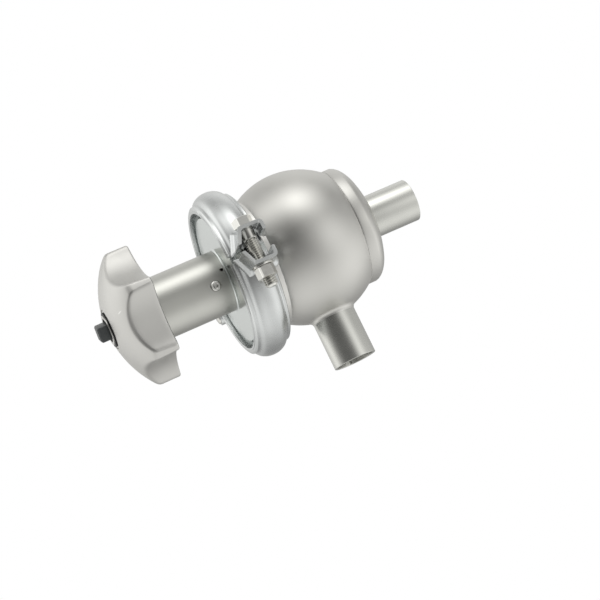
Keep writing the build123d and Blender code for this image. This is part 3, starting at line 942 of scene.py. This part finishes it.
clampHalf(1, "clamp_shell_head_side", "clamp_head_half", "clamp_half_head_side")
clampHalf(-1, "clamp_shell_nut_side", "clamp_nut_half", "clamp_half_nut_side")
clampBolt()
clampNut()
clampWasher()
hingeLinks()
hingePins()
print("clamp built")

membrane = {"hubZ": flangeZ + 5.0, "hubT": 2.2, "hubR": 12.0, "boreR": 4.15, "foldR": 25.0, "flexR": 31.0,
            "clampR": 44.5}


def rollingDiaphragm():
    # moulded sheet: clamped rim, one soft convolution and a hub gripped on the stem
    half = joint["seal"] / 2
    hubZ, hubR, bore = membrane["hubZ"], membrane["hubR"], membrane["boreR"]
    foldR, flexR, clampR = membrane["foldR"], membrane["flexR"], membrane["clampR"]
    hubTop = hubZ + membrane["hubT"]
    under = bend((flexR, flangeZ - half), (foldR, flangeZ - half - 0.2), (hubR, hubZ), 12)
    over = bend((hubR + 0.6, hubTop - 0.3), (foldR + 0.5, flangeZ + half + 0.4),
                (flexR + 0.5, flangeZ + half), 12)
    outline = [(bore, hubZ)] + under[::-1] + [(clampR, flangeZ - half), (clampR, flangeZ + half)]
    outline += over[::-1] + [(hubR - 1.0, hubTop), (bore, hubTop)]
    piece = meshPiece("rolling_diaphragm", *spun(outline), sharp=50)
    piece.data.materials.append(mouldedEpdm)
    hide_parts("diaphragm")
    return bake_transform(piece)


rollingDiaphragm()
print("diaphragm built")

# finishes of the CAD nodes that keep their shape
slotFinish = {"machined_steel": turnedBar, "bronze": bearingBronze, "diaphragm_rubber": mouldedEpdm,
              "ptfe": turnedPtfe, "black_spring_steel": phosphated, "fastener_steel": brightFastener}
slotOf = {row["node"]: row["material_slot"] for row in frame["record"]["subparts"]}
for node, shown in frame["nodes"].items():
    if shown.hide_render:
        continue
    shown.data.materials.clear()
    shown.data.materials.append(slotFinish[slotOf[node]])
print("carried-over nodes finished")

shot = {"aim": (-26.9, 7.2, 84.4), "azimuth": -9.15, "elevation": 13.57, "roll": 113.76, "distance": 981.3,
        "lens": 102.0}
azimuth, elevation, roll = (math.radians(shot[k]) for k in ("azimuth", "elevation", "roll"))
levelRight = Vector((math.cos(azimuth), math.sin(azimuth), 0))
levelUp = Vector((-math.sin(azimuth) * math.sin(elevation), math.cos(azimuth) * math.sin(elevation),
                  math.cos(elevation)))
towards = levelRight.cross(levelUp)
cameraUp = math.cos(roll) * levelUp + math.sin(roll) * levelRight
cameraRight = math.cos(roll) * levelRight - math.sin(roll) * levelUp


def makeCamera():
    data = bpy.data.cameras.new("product camera")
    data.lens = shot["lens"]
    camera = bpy.data.objects.new("product camera", data)
    bpy.context.scene.collection.objects.link(camera)
    turn = Matrix((cameraRight, cameraUp, towards)).transposed().to_4x4()
    camera.matrix_world = Matrix.Translation((Vector(shot["aim"]) + towards * shot["distance"]) * mm) @ turn
    bpy.context.scene.camera = camera


makeCamera()

# broad lights of the white tent: degrees from the camera to the right and upwards, sharpness, strength
ambient = 0.08
tentLights = {
    "overhead": (-8, 72, 14.0, 2.5), "behind above": (180, 45, 5.0, 0.9),
    "behind left": (-155, -10, 7.0, 0.45), "left wall": (-108, 6, 8.0, 1.4),
    "left above": (-66, 42, 14.0, 1.3), "low left": (-105, -42, 7.0, 1.0),
    "low front": (10, -52, 6.0, 0.55), "below": (0, -85, 6.0, 0.55),
    "right wall": (88, -14, 3.0, 1.25), "right card": (44, 22, 14.0, 1.0)}


def studio():
    world = bpy.data.worlds.new("studio tent")
    bpy.context.scene.world = world
    world.use_nodes = True
    tree = world.node_tree
    tree.nodes.clear()
    look = addNode(tree, "ShaderNodeTexCoord").outputs["Generated"]
    total = addNode(tree, "ShaderNodeValue").outputs[0]
    total.default_value = ambient
    for across, rise, sharpness, strength in tentLights.values():
        a, e = math.radians(across), math.radians(rise)
        heading = math.cos(e) * (math.sin(a) * cameraRight + math.cos(a) * towards) + math.sin(e) * cameraUp
        near = addNode(tree, "ShaderNodeVectorMath", {"operation": "DOT_PRODUCT", 1: heading}, {0: look})
        fall = addNode(tree, "ShaderNodeMath", {"operation": "MULTIPLY_ADD", 1: sharpness, 2: -sharpness},
                       {0: near.outputs["Value"]})
        glow = addNode(tree, "ShaderNodeMath", {"operation": "EXPONENT"}, {0: fall.outputs[0]})
        total = addNode(tree, "ShaderNodeMath", {"operation": "MULTIPLY_ADD", 1: strength},
                        {0: glow.outputs[0], 2: total}).outputs[0]
    tent = addNode(tree, "ShaderNodeBackground", {"Color": linear("FFFFFD")}, {"Strength": total})
    # seen straight on, the tent is plain white
    blank = addNode(tree, "ShaderNodeBackground", {"Color": (1, 1, 1, 1), "Strength": 1.0})
    seen = addNode(tree, "ShaderNodeLightPath").outputs["Is Camera Ray"]
    both = addNode(tree, "ShaderNodeMixShader", links={0: seen, 1: tent.outputs[0], 2: blank.outputs[0]})
    addNode(tree, "ShaderNodeOutputWorld", links={"Surface": both.outputs[0]})


studio()
bpy.context.scene.view_settings.view_transform = "Standard"
print("camera and light set")
